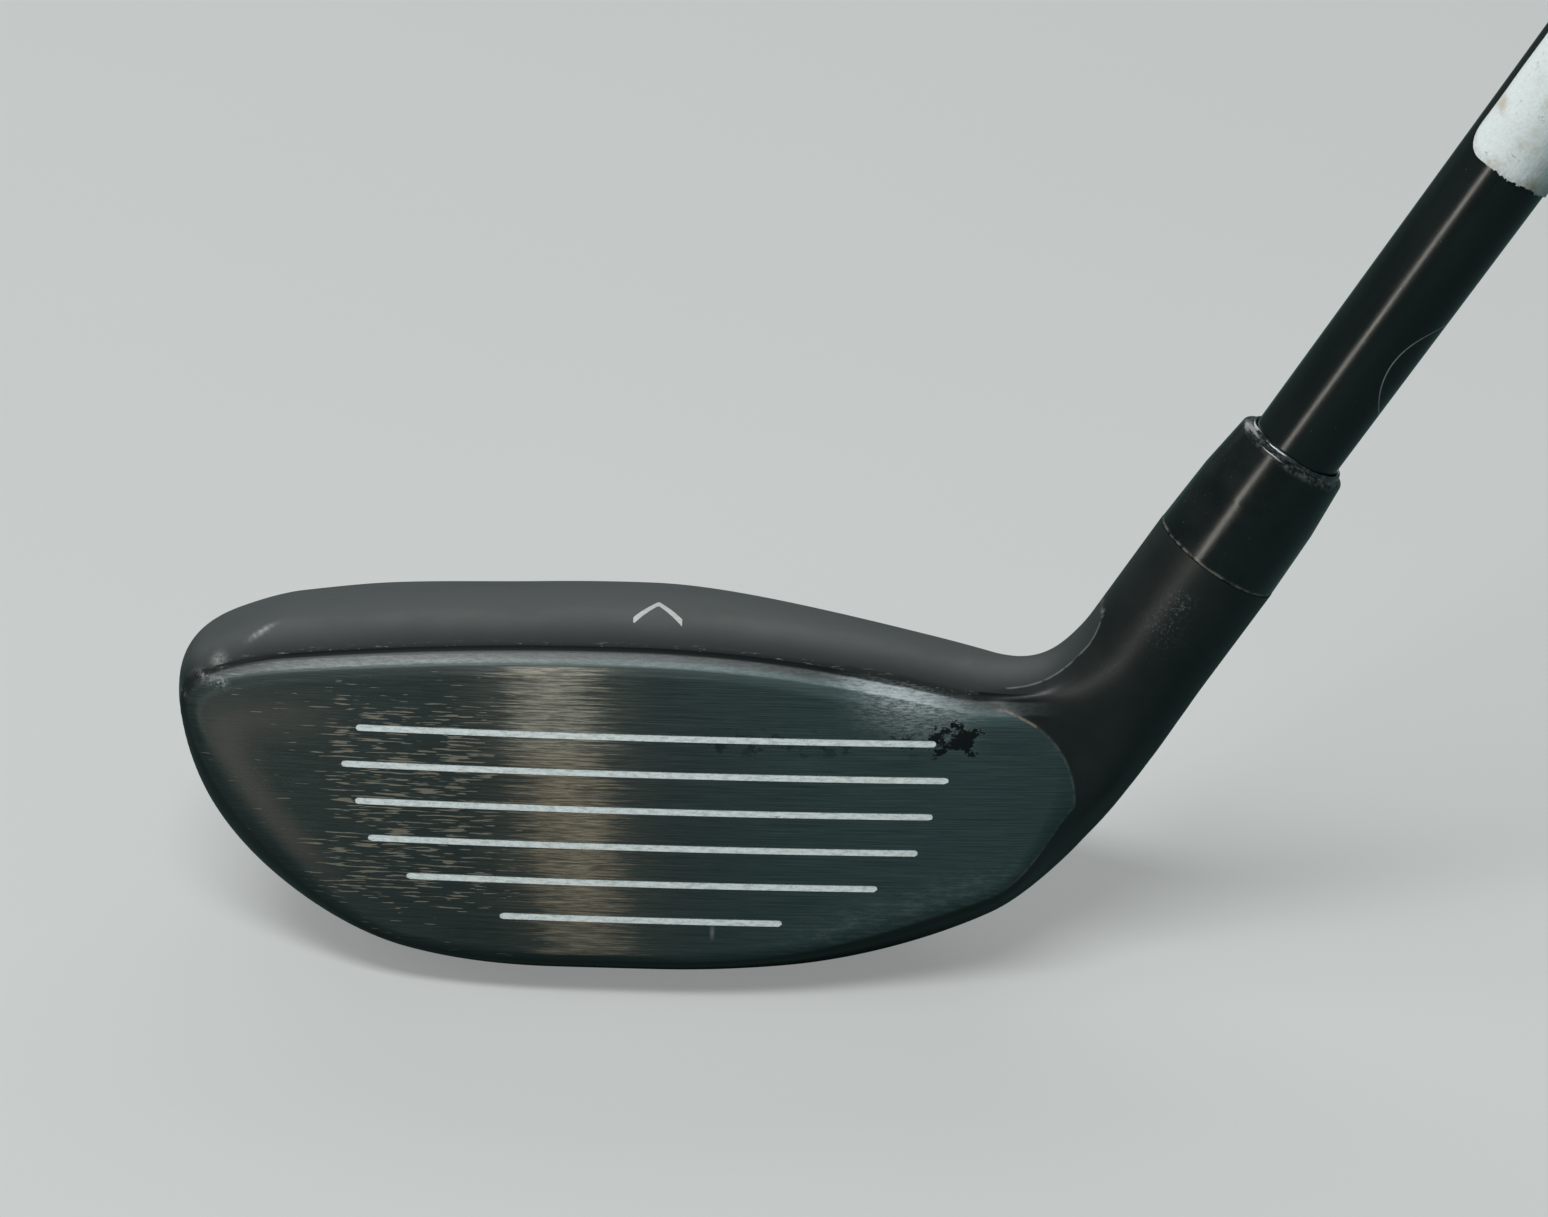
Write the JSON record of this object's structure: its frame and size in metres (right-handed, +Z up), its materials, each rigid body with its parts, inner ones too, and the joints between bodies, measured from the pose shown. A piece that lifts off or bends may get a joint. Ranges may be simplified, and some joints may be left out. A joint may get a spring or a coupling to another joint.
{
  "type": "hybrid golf club",
  "caption": "Right-handed hybrid golf club: rounded steel head with a grooved lofted face, black tapered shaft, ferrule, paper sticker and rubber grip.",
  "frame": {"origin": "middle of the club's footprint box at ground level, with the club soled at its lie angle", "axes": "+X from the toe towards the heel and along the shaft's lean, +Y from the face to the back of the head, +Z up"},
  "size_m": [0.6196, 0.056, 0.8882],
  "materials": {
    "head_body": "satin black coating over cast steel",
    "face_plate": "dark grey brushed steel with grooves",
    "groove_paint": "white paint",
    "crown_shell": "matte charcoal paint",
    "crown_mark": "light grey ink",
    "sole_badge": "gloss resin badge",
    "badge_adhesive": "adhesive film",
    "weight_screw": "machined steel",
    "weight_washer": "nylon",
    "hot_melt": "tacky glue",
    "bore_plug": "moulded stopper",
    "epoxy_bond": "cured adhesive",
    "ferrule": "polished black",
    "shaft_tube": "gloss black over carbon fibre",
    "tip_weight": "turned brass",
    "tip_plug": "cork",
    "shaft_label": "stained white paper",
    "grip_tape": "paper tape",
    "grip_sleeve": "moulded rubber",
    "grip_cap": "moulded rubber"
  },
  "bodies": {
    "club": {"head_body": "head_body", "face_plate": "face_plate", "groove_paint": "groove_paint", "crown_shell": "crown_shell", "crown_mark": "crown_mark", "sole_badge": "sole_badge", "badge_adhesive": "badge_adhesive", "hot_melt": "hot_melt", "bore_plug": "bore_plug", "epoxy_bond": "epoxy_bond", "ferrule": "ferrule", "shaft_tube": "shaft_tube", "tip_weight": "tip_weight", "tip_plug": "tip_plug", "shaft_label": "shaft_label", "grip_tape": "grip_tape", "grip_sleeve": "grip_sleeve", "grip_cap": "grip_cap"},
    "washer": {"weight_washer": "weight_washer"},
    "weight": {"weight_screw": "weight_screw"}
  },
  "joints": [
    {"name": "weight_travel", "type": "slide", "parent": "club", "child": "washer", "axis": [0, 0.4695, -0.8829], "range_m": [0, 0.006]},
    {"name": "weight_turn", "type": "hinge", "parent": "washer", "child": "weight", "pos_m": [-0.26822, 0.01248, 0.00347], "axis": [0, 0.4695, -0.8829], "range_deg": [0, 2164]}
  ],
  "couplings": [
    {"joint": "weight_turn", "follows": "weight_travel", "rad_per_m": 6283.2}
  ]
}
